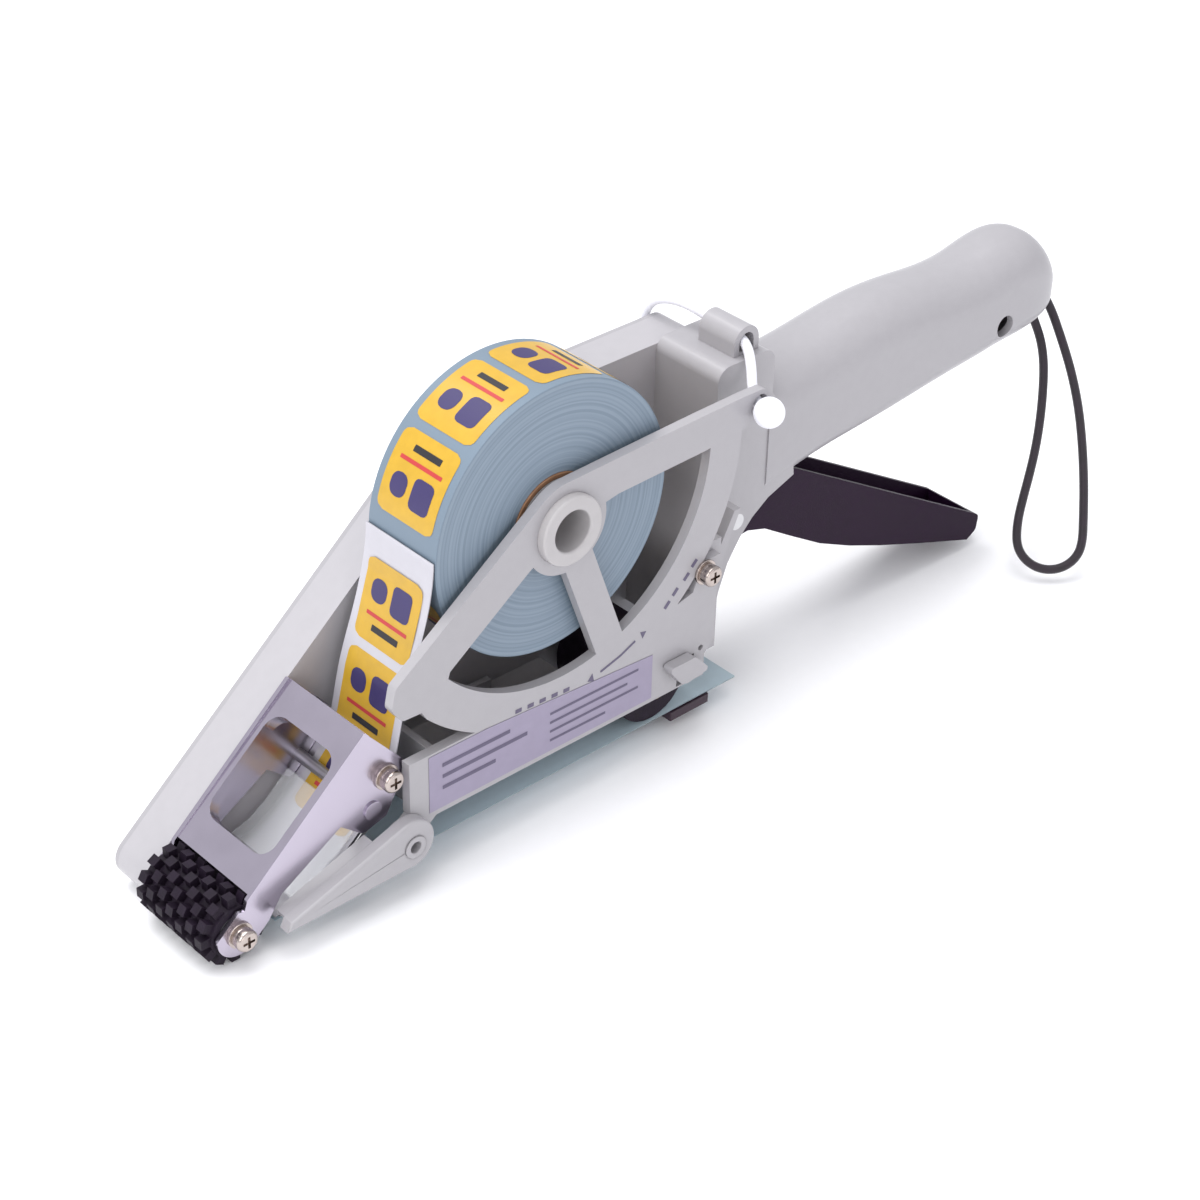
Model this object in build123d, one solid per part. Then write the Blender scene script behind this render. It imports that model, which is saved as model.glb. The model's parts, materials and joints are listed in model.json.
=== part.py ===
"""Hand-held label applicator: a roll of die-cut labels on a spoked carrier, a geared feed and a press roller.

Frame: millimetres. +X runs from the press roller to the handle, +Z is up and z = 0 is the bottom of the press
roller. -Y is the open side with the spoked plate, +Y is the side with the gear housing. Outlines are (x, z) pairs.
Depths below are measured from the inner wall; save() moves each solid so that y = 0 is the middle of the width.
"""
from build123d import *
from math import atan2, cos, degrees, hypot, pi, radians, sin, sqrt, tan
import os

os.makedirs("parts", exist_ok=True)

# Moves the middle of the tool's width, knots and cords left out, to y = 0
WIDTH_SHIFT = 7.6

# Clearances: running fit of a shaft, gap between moving pieces
FIT, GAP = 0.05, 0.3

# Places along Y
PLATE_OUT, PLATE_IN = -33.0, -30.0
WEB_NEAR, WEB_FAR = -27.8, -1.0
WALL_IN, WALL_BACK = 3.2, 5.2
COVER_IN, COVER_OUT = 15.5, 17.5
GRIP_MID = -8.5
NECK_NEAR = -21.3
GATE_OUT, GATE_IN = -36.9, -33.2
KNOB_START, KNOB_END = 19.2, 22.2

# Label roll and the pin that carries it
HUB = (-50.8, 89.0)
ROLL_R, CORE_OUT_R, CORE_IN_R = 39.2, 13.5, 12.1
PIN_R, PIN_BORE_R = 10.05, 5.95
PIN_HOLE_R = PIN_R + FIT
PIN_END = KNOB_START + 1.8
KNOB_R, RING_EAR = 13.6, (-31.4, 84.6)

# Spoked plate
RIM_CENTRE = (-52.0, 95.0)
RIM_OUT_R, RIM_IN_R = 63.5, 52.0
HUB_DISC_R = 13.5
PLATE_BOTTOM = 18.9
TETHER_HOLE, TETHER_HOLE_R = (18.1, 100.1), 2.7
REAR_SCREW = (-0.1, 54.1)
TAB_SLOT = (-9.0, -2.6, 19.4, 28.0)
GATE_PIVOT, GATE_PIN_R = (-105.3, 15.9), 2.6
GATE_BOSS, GATE_BOSS_R = (-106.2, 16.8), 7.4

# Gear housing: the slope is set by two points on it
SLOPE_FOOT, SLOPE_HEAD = (-150.0, 21.5), (-76.2, 84.9)
GRADE = (SLOPE_HEAD[1] - SLOPE_FOOT[1]) / (SLOPE_HEAD[0] - SLOPE_FOOT[0])
SLOPE_ANGLE = degrees(atan2(GRADE, 1))
HOUSING_TOP, HOUSING_REAR = 104.6, 28.5
TOP_FRONT_X = SLOPE_HEAD[0] + (HOUSING_TOP - SLOPE_HEAD[1]) / GRADE
TOOL_FRONT, NOSE_R = -162.0, 6.6
WALL = 2.2
COVER_SCREWS = [(-148.0, 13.5), (-84.0, 66.0), (-84.0, 18.0), (-12.0, 97.0), (24.0, 92.0), (-40.0, 18.0)]
BOSS_R, PILOT_R, SCREW_R = 3.4, 1.25, 1.2

# Press roller and its bracket
ROLLER, ROLLER_R, ROLLER_CORE_R, SLEEVE_R = (-156.0, 10.15), 10.0, 7.3, 5.2
ROLLER_NEAR, ROLLER_FAR = -27.9, 1.7
ROLLER_ROWS, ROLLER_NUBS, NUB_WIDE, NUB_GAP = 7, 12, 2.7, 0.7
AXLE_R = 2.4
BRACKET_NEAR, BRACKET_FAR = -29.4, 3.2
BRACKET_TOP, BRACKET_FOOT = (-114.2, 52.2), (-151.8, 19.98)
SHEET_METAL = 1.2
WINDOW_AT, WINDOW_LONG, WINDOW_WIDE, LIP_DEPTH = 0.1, 31.5, 26.5, 4.0
GUIDE_RODS = [(-108.6, 36.2), (-113.1, 27.5)]
ROD_R = 1.7

# Trigger and feed train
PIVOT, PIVOT_PIN_R, TUBE_R = (24.1, 54.4), 2.5, 5.0
TRIGGER_NEAR, TRIGGER_FAR, TRIGGER_WALL = -19.0, 2.0, 1.8
FEED, FEED_R, FEED_SHAFT_R = (-12.9, 20.1), 12.8, 3.0
MODULE = 1.0
SECTOR_TEETH, IDLER_TEETH, PINION_TEETH = 66, 12, 14
GEAR_LOW, GEAR_HIGH = 7.0, 12.0
BUSH_R, IDLER_PIN_R = 4.6, 1.5

# Label web, liner and pinch arm
LINER_Z, SHEET = 6.8, 0.4
WEB_LINE = [(-90.5, 92.0), (-92.1, 80.0), (-95.9, 67.0), (-100.4, 53.9), (-103.6, 40.5), (-107.6, 30.0),
            (-112.2, 25.2), (-117.2, 20.5), (-122.5, 15.9), (-128.5, 12.0), (-135.8, 9.6), (-143.9, 8.0)]
LINER_END = 19.8
PINCH, PINCH_R, PINCH_AXLE_R, PINCH_NEAR = (-12.9, 3.6), 2.6, 1.05, -22.0
ARM_NEAR, ARM_FAR, TAB_OUT, SPRING_LOW = (-29.7, -28.3), (-0.5, 0.9), -36.6, -6.0
ARM_PIVOT, ARM_PIN_R = (-42.0, 13.6), 1.5

# Handle sections from front to rear: x, underside z, top z, width
HANDLE_SECTIONS = [(34.3, 57.0, 96.6, 26.5), (52.0, 61.0, 97.5, 26.5), (68.0, 63.0, 99.5, 26.5),
                   (90.0, 65.0, 101.2, 26.5), (111.0, 67.4, 99.8, 26.5), (128.0, 69.0, 100.3, 26.5),
                   (142.4, 70.2, 102.7, 26.5), (149.5, 71.0, 101.6, 26.0), (155.0, 72.2, 98.3, 24.0),
                   (159.2, 73.8, 93.2, 20.0), (162.8, 77.0, 87.0, 12.0)]
HANDLE_SHELL = 2.3
STRAP_HOLE, STRAP_HOLE_R = (134.3, 78.4), 3.5
BLOCK_TOP = 106.4
LUG_CENTRE, LUG_OUT_R, LUG_IN_R = (26.4, 109.9), 4.7, 2.7
LUG_NEAR, LUG_FAR = -18.7, -4.9

# Cords
STRAP_D, TETHER_D = 2.8, 2.8
STRAP_ROUTE = [(157.5, -13.2, 82.5), (162.5, -15.1, 75.2), (161.8, -22.4, 65.4), (160.7, -28.8, 56.3),
               (158.8, -34.5, 47.2), (156.0, -39.8, 37.3), (152.6, -44.7, 27.4), (149.5, -48.3, 19.5),
               (146.0, -52.1, 10.8), (142.5, -52.2, 6.7), (138.1, -50.1, 4.3), (134.0, -46.4, 4.2),
               (131.4, -42.1, 6.4), (130.9, -38.4, 10.4), (133.4, -35.8, 16.4), (136.9, -34.1, 22.4),
               (140.9, -32.5, 29.1), (145.1, -30.5, 36.4), (149.2, -27.8, 44.3), (152.8, -24.7, 52.2),
               (155.4, -21.8, 58.8), (156.8, -18.9, 64.0), (157.3, -16.0, 68.2), (154.5, -13.5, 76.5)]
TETHER_ROUTE = [(16.8, -36.8, 99.4), (17.9, -32.0, 99.8), (19.6, -28.2, 101.8), (22.6, -24.6, 105.6),
                (24.9, -20.9, 109.1), (26.1, -16.8, 110.6), (26.6, -10.6, 110.8), (26.7, -4.6, 110.9),
                (25.8, 1.0, 112.3), (24.8, 6.8, 112.7), (24.3, 12.4, 111.3), (24.8, 17.4, 108.0),
                (25.6, 20.6, 102.8), (24.6, 21.4, 96.4), (20.4, 21.4, 90.8), (13.4, 21.4, 87.2),
                (3.0, 21.4, 85.2), (-10.0, 21.3, 84.4), (-28.2, 21.5, 84.6)]


def at_y(y):
    """Plane across the tool at y, with sketch axes (x, z)."""
    return Plane(origin=(0, y, 0), x_dir=(1, 0, 0), z_dir=(0, -1, 0))


def prism(sketch, low, high):
    """Extrude an (x, z) sketch from y = low to y = high."""
    return extrude(at_y(high) * sketch, high - low)


def outline(*points):
    return make_face(Polyline(*points, close=True))


def disc(centre, radius):
    return Pos(*centre) * Circle(radius)


def ring(centre, outer, inner):
    return disc(centre, outer) - disc(centre, inner)


def rod(centre, radius, low, high):
    return prism(disc(centre, radius), low, high)


def tube(centre, outer, inner, low, high):
    return prism(ring(centre, outer, inner), low, high)


def box_xz(x0, x1, z0, z1):
    return Pos((x0 + x1) / 2, (z0 + z1) / 2) * Rectangle(x1 - x0, z1 - z0)


def bar(start, end, width):
    """Straight (x, z) strip of the given width between two points."""
    dx, dz = end[0] - start[0], end[1] - start[1]
    middle = ((start[0] + end[0]) / 2, (start[1] + end[1]) / 2)
    return Pos(*middle) * (Rot(0, 0, degrees(atan2(dz, dx))) * Rectangle(hypot(dx, dz), width))


def polar(centre, radius, angle):
    """Point at an angle in degrees, from +X towards +Z."""
    return (centre[0] + radius * cos(radians(angle)), centre[1] + radius * sin(radians(angle)))


def direction(start, end):
    return degrees(atan2(end[1] - start[1], end[0] - start[0]))


def rounded(sketch, radius, corners):
    """Round the sketch corners that lie at the given points."""
    chosen = [v for v in sketch.vertices() if any(hypot(v.X - p[0], v.Y - p[1]) < 0.5 for p in corners)]
    return fillet(chosen, radius)


def save(name, solid):
    export_step(Pos(0, WIDTH_SHIFT, 0) * solid, f"parts/{name}.step")


def pan_screw(at, seat, head_r, head_h, depth, away=-1):
    """Cross-recessed pan screw: the head stands off the seat along Y, the shank goes the other way."""
    top = seat + away * head_h
    head = rod(at, head_r, min(seat, top), max(seat, top))
    rim = head.edges().filter_by(GeomType.CIRCLE).sort_by(Axis.Y)[0 if away < 0 else -1]
    head = fillet(rim, head_h * 0.45)
    foot = seat - away * depth
    shank = rod(at, SCREW_R, min(seat, foot), max(seat, foot))
    slot = Rectangle(head_r * 1.15, head_r * 0.26)
    floor = top - away * head_h * 0.5
    recess = prism(Pos(*at) * (slot + Rot(0, 0, 90) * slot), min(top, floor), max(top, floor))
    return head + shank - recess


# Gears: the sector rides on the trigger, the idler turns the feed the right way round
SECTOR_R, IDLER_R, PINION_R = (MODULE * n / 2 for n in (SECTOR_TEETH, IDLER_TEETH, PINION_TEETH))


def idler_centre():
    """Upper of the two points at the right distances from the trigger pivot and the feed shaft."""
    reach, near, far = hypot(PIVOT[0] - FEED[0], PIVOT[1] - FEED[1]), SECTOR_R + IDLER_R, PINION_R + IDLER_R
    along = (near ** 2 - far ** 2 + reach ** 2) / (2 * reach)
    across = sqrt(near ** 2 - along ** 2)
    ux, uz = (FEED[0] - PIVOT[0]) / reach, (FEED[1] - PIVOT[1]) / reach
    return (PIVOT[0] + along * ux + across * uz, PIVOT[1] + along * uz - across * ux)


IDLER = idler_centre()


def gear_face(centre, teeth, tooth_angle, first=0, count=None):
    """Spur gear with one tooth at tooth_angle (degrees); with count, a sector of that many teeth."""
    pitch_r = MODULE * teeth / 2
    root_r, tip_r, step = pitch_r - 1.15 * MODULE, pitch_r + 0.85 * MODULE, 360 / teeth
    face = disc(centre, root_r + 0.05)
    if count:
        spread = [polar(centre, 2 * tip_r, tooth_angle + (first - 0.5 + count * k / 4) * step) for k in range(5)]
        face = face & outline(centre, *spread)
    for k in range(first, first + (count or teeth)):
        middle = tooth_angle + k * step
        flank = [(root_r, 0.27), (pitch_r, 0.205), (tip_r, 0.10)]
        left = [polar(centre, r, middle - share * step) for r, share in flank]
        right = [polar(centre, r, middle + share * step) for r, share in reversed(flank)]
        face = face + outline(*left, *right)
    return face


def gear(centre, teeth, tooth_angle, bore):
    return prism(gear_face(centre, teeth, tooth_angle) - disc(centre, bore), GEAR_LOW, GEAR_HIGH)


IDLER_TOOTH = direction(IDLER, PIVOT)
SECTOR_TOOTH = direction(PIVOT, IDLER) + 180 / SECTOR_TEETH
IDLER_LEAD = (IDLER_TOOTH - direction(IDLER, FEED)) % (360 / IDLER_TEETH)
PINION_TOOTH = direction(FEED, IDLER) - IDLER_LEAD * IDLER_R / PINION_R + 180 / PINION_TEETH


# Gear housing -----------------------------------------------------------------------------------------------------

NOSE_X = TOOL_FRONT + NOSE_R
NOSE = (NOSE_X, SLOPE_FOOT[1] + GRADE * (NOSE_X - SLOPE_FOOT[0]) - NOSE_R / cos(radians(SLOPE_ANGLE)))


def housing_face():
    """Side outline of the gear housing: round nose, long slope, flat top and stepped underside."""
    top_front, top_rear = (TOP_FRONT_X, HOUSING_TOP), (HOUSING_REAR, HOUSING_TOP)
    rear_foot, step = (HOUSING_REAR + 5.5, 46.0), (2.0, 10.0)
    body = outline(NOSE, polar(NOSE, NOSE_R, SLOPE_ANGLE + 90), top_front, top_rear, (HOUSING_REAR + 5.5, 90.0),
                   rear_foot, (20.0, 26.0), step, (-118.0, 9.5), polar(NOSE, NOSE_R, 278))
    body = rounded(body, 16.0, [top_front])
    return rounded(body, 5.0, [top_rear, rear_foot, step]) + disc(NOSE, NOSE_R)


HOUSING = housing_face()


def main_frame():
    """Far wall of the label channel, with the rim and screw bosses of the gear housing behind it."""
    frame = prism(HOUSING, WALL_IN, COVER_IN) - prism(offset(HOUSING, -WALL), WALL_BACK, COVER_IN)
    for at in COVER_SCREWS:
        frame += prism(disc(at, BOSS_R) & HOUSING, WALL_BACK, COVER_IN)
    frame += rod(HUB, PIN_HOLE_R + 2.4, WALL_IN, COVER_IN)
    frame += prism(disc(ROLLER, 6.0) & HOUSING, WALL_IN, COVER_IN - 4.0)
    for at in COVER_SCREWS:
        frame -= rod(at, PILOT_R, WALL_BACK + 1.0, COVER_IN)
    holes = [(HUB, PIN_HOLE_R), (FEED, BUSH_R), (PIVOT, TUBE_R + GAP), (ARM_PIVOT, ARM_PIN_R), (IDLER, IDLER_PIN_R)]
    for centre, radius in holes:
        frame -= rod(centre, radius, WALL_IN, COVER_IN)
    return frame - rod(ROLLER, AXLE_R, WALL_IN, COVER_IN - 6.0)


def mechanism_cover():
    """Flat far cover over the gears."""
    cover = prism(HOUSING, COVER_IN, COVER_OUT)
    cover = chamfer(cover.faces().sort_by(Axis.Y)[-1].outer_wire().edges(), 0.6)
    for centre, radius in [(HUB, PIN_HOLE_R), (PIVOT, PIVOT_PIN_R)] + [(at, SCREW_R) for at in COVER_SCREWS]:
        cover -= rod(centre, radius, COVER_IN, COVER_OUT)
    return cover


# Spoked plate -----------------------------------------------------------------------------------------------------


def side_plate():
    """Near plate: hub disc, three spokes, lower rim, and the flat panel under it with the gate's ear."""
    hub_x, hub_z = HUB
    rim = ring(RIM_CENTRE, RIM_OUT_R, RIM_IN_R) & outline(
        (-99.5, 54.0), (-96.0, 48.0), (-60.0, 20.0), (30.0, 30.0), (30.0, 95.0), (0.0, 95.0), RIM_CENTRE, (-98.0, 62.0))
    tip = [(19.6, 104.2), (25.0, 98.4), (25.6, 93.5)]
    upper = outline((hub_x, hub_z + HUB_DISC_R), (-4.5, 104.0), (12.0, 104.3), *tip, (13.0, 94.4), (-2.0, 93.0),
                    (-33.0, 92.2), HUB)
    elbow = [(-107.5, 64.6), (-108.8, 58.4), (-105.6, 53.9)]
    left = outline((-58.8, 99.9), (-99.4, 70.4), *elbow, (-99.1, 53.6), (-91.0, 58.4), (-89.9, 62.0),
                   (-64.0, 80.6), HUB)
    panel = outline((-97.5, PLATE_BOTTOM), (-103.7, 23.0), (-103.7, 39.1), (-83.0, 39.1), (-60.0, 36.0),
                    (-20.0, 45.0), (-4.1, 48.8), (-0.7, 57.4), (6.0, 57.4), (5.6, 51.5), (4.9, 43.7), (4.9, 30.0),
                    (1.4, 26.0), (1.4, PLATE_BOTTOM))
    face = disc(HUB, HUB_DISC_R) + rounded(upper, 3.0, tip) + rounded(left, 2.6, elbow) + panel + rim
    face = face + bar(HUB, (-34.6, 45.0), 9.8) + disc(GATE_PIVOT, 5.0) + bar(GATE_PIVOT, (-95.0, 24.0), 8.0)
    for centre, radius in [(HUB, PIN_HOLE_R), (TETHER_HOLE, TETHER_HOLE_R), (REAR_SCREW, SCREW_R + 0.1),
                           (GATE_PIVOT, GATE_PIN_R), ((-0.1, 28.7), 0.9)]:
        face = face - disc(centre, radius)
    return prism(face - box_xz(*TAB_SLOT), PLATE_OUT, PLATE_IN)


def base_deck():
    """Floor and front wall of the label channel, with the lug that carries the pinch arm's pin."""
    floor = prism(box_xz(-96.0, -28.0, 16.2, 19.2), PLATE_IN, WALL_IN)
    front = prism(outline((-96.0, 16.2), (-92.0, 16.2), (-92.0, 37.5), (-94.4, 37.5), (-96.0, 30.0)), PLATE_IN, WALL_IN)
    lug = prism(box_xz(-46.0, -38.0, 10.0, 16.2), SPRING_LOW - 6.0, SPRING_LOW)
    ribs = [prism(box_xz(-92.5, -48.5, 19.1, 23.0), y, y + 2.0) for y in (-29.0, -0.2)]
    return floor + front + lug + ribs - rod(ARM_PIVOT, ARM_PIN_R, SPRING_LOW - 6.0, SPRING_LOW)


# Neck, handle and tether lug --------------------------------------------------------------------------------------


def handle_section(x, low, high, width):
    """Upright section across the handle: generous top corners, tighter bottom ones."""
    half, tall = width / 2, high - low
    top_r, low_r = min(half, tall / 2) * 0.94, min(8.0, half * 0.6, tall * 0.4)
    s = 1 - sqrt(0.5)
    bottom = Line((-half + low_r, low), (half - low_r, low))
    right_low = ThreePointArc((half - low_r, low), (half - low_r * s, low + low_r * s), (half, low + low_r))
    right = Line((half, low + low_r), (half, high - top_r))
    right_top = ThreePointArc((half, high - top_r), (half - top_r * s, high - top_r * s), (half - top_r, high))
    top = Line((half - top_r, high), (-half + top_r, high))
    left_top = ThreePointArc((-half + top_r, high), (-half + top_r * s, high - top_r * s), (-half, high - top_r))
    left = Line((-half, high - top_r), (-half, low + low_r))
    left_low = ThreePointArc((-half, low + low_r), (-half + low_r * s, low + low_r * s), (-half + low_r, low))
    face = make_face([bottom, right_low, right, right_top, top, left_top, left, left_low])
    return Plane(origin=(x, GRIP_MID, 0), x_dir=(0, 1, 0), z_dir=(1, 0, 0)) * face


def bore_between(start, end, radius):
    """Cylinder from just behind start all the way to end."""
    along = Vector(*end) - Vector(*start)
    plane = Plane(origin=Vector(*start) - along.normalized() * 0.6, z_dir=along)
    return extrude(plane * Circle(radius), along.length + 0.6)


def handle_solid():
    """Handle and neck before they are split: lofted grip, block behind the roll, and the cavity for the trigger."""
    grip = loft([handle_section(*s) for s in HANDLE_SECTIONS])
    t = HANDLE_SHELL
    inner = loft([handle_section(x, low + t, high - t, width - 2 * t) for x, low, high, width in HANDLE_SECTIONS[:-2]])
    arch = [(13.6, BLOCK_TOP), (35.2, BLOCK_TOP)]
    neck = outline((5.2, 24.0), (5.2, 43.5), (7.2, 54.0), (13.6, 66.5), *arch, (35.2, 92.0), (44.0, 80.0), (46.0, 61.5),
                   (36.0, 57.8), (30.0, 53.6), (25.3, 48.6), (21.0, 42.0), (18.0, 34.0), (15.5, 24.0))
    neck = prism(rounded(neck, 4.2, arch), NECK_NEAR, WALL_IN)
    back = outline((5.2, 24.0), (5.2, 43.5), (7.2, 54.0), (10.8, 61.0), (13.6, 66.5), (16.0, 66.5), (10.6, 54.0),
                   (8.4, 43.5), (8.4, 24.0))
    rear_wall = prism(back, PLATE_IN, NECK_NEAR)
    foot = prism(box_xz(-5.5, 9.0, 48.0, 60.0), PLATE_IN, PLATE_IN + 4.0)
    cavity = outline((15.2, 20.0), (12.0, 50.0), (17.0, 70.0), (30.0, 84.0), (50.0, 86.0), (60.0, 50.0), (20.0, 20.0))
    slot = box_xz(44.0, 100.0, 40.0, 76.0)
    reach = (TRIGGER_NEAR - GAP, TRIGGER_FAR + GAP)
    body = grip + neck + rear_wall + foot - inner - prism(cavity, *reach) - prism(slot, *reach)
    body -= rod(STRAP_HOLE, STRAP_HOLE_R, -30, 10)
    for inner, outer in [(0, 1), (1, 2), (-1, -2), (-2, -3)]:
        body -= bore_between(STRAP_ROUTE[inner], STRAP_ROUTE[outer], STRAP_D / 2 + 1.0)
        body -= Pos(*STRAP_ROUTE[inner]) * Sphere(STRAP_D / 2 + 1.0)
    body -= rod(PIVOT, PIVOT_PIN_R, PLATE_IN, TRIGGER_NEAR + 1)
    body -= rod(PIVOT, TUBE_R + GAP, TRIGGER_FAR, WALL_IN)
    return body - rod(REAR_SCREW, SCREW_R, PLATE_IN, PLATE_IN + 4.0)


def split_handle(body):
    """Cut the handle into a near and a far shell on its mid-plane."""
    reach = 400.0
    near = Pos(0, GRIP_MID - reach / 2, 0) * Box(2 * reach, reach, reach)
    far = Pos(0, GRIP_MID + reach / 2, 0) * Box(2 * reach, reach, reach)
    return body & near, body & far


def tether_lug():
    """Half-round tunnel on top of the block that guides the tether cord."""
    x, z = LUG_CENTRE
    face = disc(LUG_CENTRE, LUG_OUT_R) + box_xz(x - LUG_OUT_R, x + LUG_OUT_R, BLOCK_TOP, z)
    face = face - disc(LUG_CENTRE, LUG_IN_R) - box_xz(x - LUG_IN_R, x + LUG_IN_R, 107.4, z)
    return prism(face & box_xz(x - 10, x + 10, BLOCK_TOP, z + 10), LUG_NEAR, LUG_FAR)


# Press roller and bracket -----------------------------------------------------------------------------------------


def flange_face():
    """Side wing of the bracket, from its upper corner round the screw bosses to the roller axle."""
    eye = disc(ROLLER, 6.6)
    corners = [(-102.6, 38.6), (-108.6, 23.6), (-116.3, 21.4)]
    wing = outline((-115.0, 53.0), corners[0], (-104.3, 31.5), *corners[1:], (-123.3, 27.3), (-142.5, 15.8),
                   (-146.8, 9.6), (-151.5, 5.3), ROLLER, (-152.6, 20.2))
    wing = rounded(wing, 2.0, corners) + eye
    above, below = 52.6, -5.0
    return wing & outline((-164.1, 19.8 - 12 * GRADE), (-115.0, above), (-95.0, above), (-95.0, below), (-170.0, below))


def roller_bracket():
    """Bent sheet bracket: sloping face with its lipped window, and a wing each side down to the axle."""
    width = BRACKET_FAR - BRACKET_NEAR
    run, rise = BRACKET_TOP[0] - BRACKET_FOOT[0], BRACKET_TOP[1] - BRACKET_FOOT[1]
    length = hypot(run, rise)
    middle = ((BRACKET_TOP[0] + BRACKET_FOOT[0]) / 2, (BRACKET_TOP[1] + BRACKET_FOOT[1]) / 2)
    face_plane = Plane(origin=(middle[0], (BRACKET_NEAR + BRACKET_FAR) / 2, middle[1]),
                       x_dir=(run / length, 0, rise / length), z_dir=(-rise / length, 0, run / length))
    window = Pos(WINDOW_AT, 0) * RectangleRounded(WINDOW_LONG, WINDOW_WIDE, 5.0)
    lip = Pos(WINDOW_AT, 0) * RectangleRounded(WINDOW_LONG + 1.8, WINDOW_WIDE + 1.8, 5.9)
    face = extrude(face_plane * (Rectangle(length, width) - window), -SHEET_METAL)
    face += extrude(face_plane * (lip - window), -LIP_DEPTH)
    wing = flange_face()
    for centre, radius in [(ROLLER, AXLE_R + FIT)] + [(at, 1.5) for at in GUIDE_RODS]:
        wing = wing - disc(centre, radius)
    wings = prism(wing, BRACKET_NEAR, BRACKET_NEAR + SHEET_METAL) + prism(wing, BRACKET_FAR - SHEET_METAL, BRACKET_FAR)
    return face + wings


def press_roller():
    """Rubber tyre with staggered square nubs, on its plastic sleeve's bore."""
    row = (ROLLER_FAR - ROLLER_NEAR) / ROLLER_ROWS
    step = 360 / ROLLER_NUBS
    tyre = tube(ROLLER, ROLLER_CORE_R, SLEEVE_R, ROLLER_NEAR, ROLLER_FAR)
    for k in range(ROLLER_ROWS):
        nubs = [bar(polar(ROLLER, ROLLER_CORE_R - 1.0, a), polar(ROLLER, ROLLER_R, a), NUB_WIDE)
                for a in [270 + (n + 0.5 * (k % 2)) * step for n in range(ROLLER_NUBS)]]
        low = ROLLER_NEAR + k * row
        for nub in nubs:
            tyre += prism(nub, low + NUB_GAP, low + row - NUB_GAP)
    return tyre


# Feed, pinch and trigger ------------------------------------------------------------------------------------------


def trigger():
    """Channel-shaped lever, open upwards, with its pivot tube reaching into the gear housing."""
    under = [(131.0, 3.0), (108.4, 11.1), (90.0, 18.0), (75.4, 24.0), (62.0, 30.4), (48.7, 38.6), (38.0, 45.4),
             (31.0, 47.6), (24.5, 47.2)]
    side = outline((47.5, 62.1), (135.6, 10.4), (134.8, 5.2), *under, (18.0, 48.0), (17.0, 56.0), (22.0, 62.0))
    side = rounded(side, 2.0, [(134.8, 5.2), (135.6, 10.4)]) + disc(PIVOT, 7.6)
    inside = outline((40.0, 64.0), (47.5, 64.1), (133.0, 14.0), (132.2, 7.2), (129.6, 6.0), (109.0, 13.3),
                     (90.8, 20.2), (76.4, 26.1), (63.0, 32.5), (49.8, 40.7), (39.5, 47.8), (34.0, 52.0), (34.0, 60.0))
    lever = prism(side, TRIGGER_NEAR, TRIGGER_FAR)
    lever -= prism(inside, TRIGGER_NEAR + TRIGGER_WALL, TRIGGER_FAR - TRIGGER_WALL)
    lever += prism(bar((96.0, 17.0), (128.0, 8.0), 6.0), GRIP_MID - 0.9, GRIP_MID + 0.9)
    lever += rod(PIVOT, TUBE_R, TRIGGER_FAR, GEAR_HIGH)
    return lever - rod(PIVOT, PIVOT_PIN_R + FIT, TRIGGER_NEAR, GEAR_HIGH)


def drive_sector():
    """Toothed sector keyed on the trigger's tube."""
    first, count = -7, 9
    teeth = gear_face(PIVOT, SECTOR_TEETH, SECTOR_TOOTH, first, count)
    step = 360 / SECTOR_TEETH
    start, end = SECTOR_TOOTH + (first - 0.5) * step, SECTOR_TOOTH + (first + count - 0.5) * step
    middle = (start + end) / 2
    web = teeth + disc(PIVOT, TUBE_R + 2.2)
    for low, high in [(-17, -4), (4, 17)]:
        wedge = outline(PIVOT, polar(PIVOT, 60, middle + low), polar(PIVOT, 60, middle + high))
        web = web - (ring(PIVOT, SECTOR_R - 6, TUBE_R + 6) & wedge)
    return prism(web - disc(PIVOT, TUBE_R), GEAR_LOW, GEAR_HIGH)


def pinch_arm():
    """Spring-loaded cradle for the liner: far arm under it, tie over it behind the feed roller, and the thumb tab."""
    side = outline((-45.0, 10.8), (-45.0, 15.9), (-39.0, 15.9), (-20.0, 8.0), (-8.0, 7.6), (10.0, 6.2), (10.0, 3.2),
                   (-10.0, 1.4), (-16.0, 1.4), (-22.0, 3.0), (-39.0, 10.6))
    side = side - disc(ARM_PIVOT, ARM_PIN_R + FIT) - disc(PINCH, PINCH_AXLE_R)
    arm = prism(side + box_xz(0.5, 3.2, 5.0, 20.4), *ARM_FAR)
    arm += prism(box_xz(0.5, 3.2, 17.0, 20.4), ARM_NEAR[0], ARM_FAR[1])
    arm += prism(box_xz(-7.6, 3.2, 17.0, 21.0) + box_xz(-7.6, -4.4, 17.0, 27.0), *ARM_NEAR)
    arm += prism(box_xz(-7.6, -4.4, 22.6, 27.0), PLATE_OUT - GAP, ARM_NEAR[0])
    tab = outline((-15.6, 29.8), (-5.4, 29.8), (-0.4, 24.5), (-0.8, 23.3), (-8.1, 22.2), (-10.4, 23.0))
    tab = prism(rounded(tab, 1.0, [(-0.4, 24.5), (-5.4, 29.8), (-15.6, 29.8)]), TAB_OUT, PLATE_OUT - GAP)
    return arm + tab


def coil(centre, radius, wire, low, turns):
    """Close-wound coil spring round a Y axis."""
    pitch = wire * 1.12
    path = at_y(low + pitch * turns) * Pos(*centre) * Helix(pitch, pitch * turns, radius)
    start = path @ 0
    section = Plane(origin=start, z_dir=path % 0) * Circle(wire / 2)
    return sweep(section, path=path)


def strip_face(line, thickness):
    return trace(Spline(*line), thickness)


def label_web():
    """Labels on their liner, from the roll down to the peel edge."""
    return prism(strip_face(WEB_LINE, SHEET), WEB_NEAR, WEB_FAR)


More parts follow.
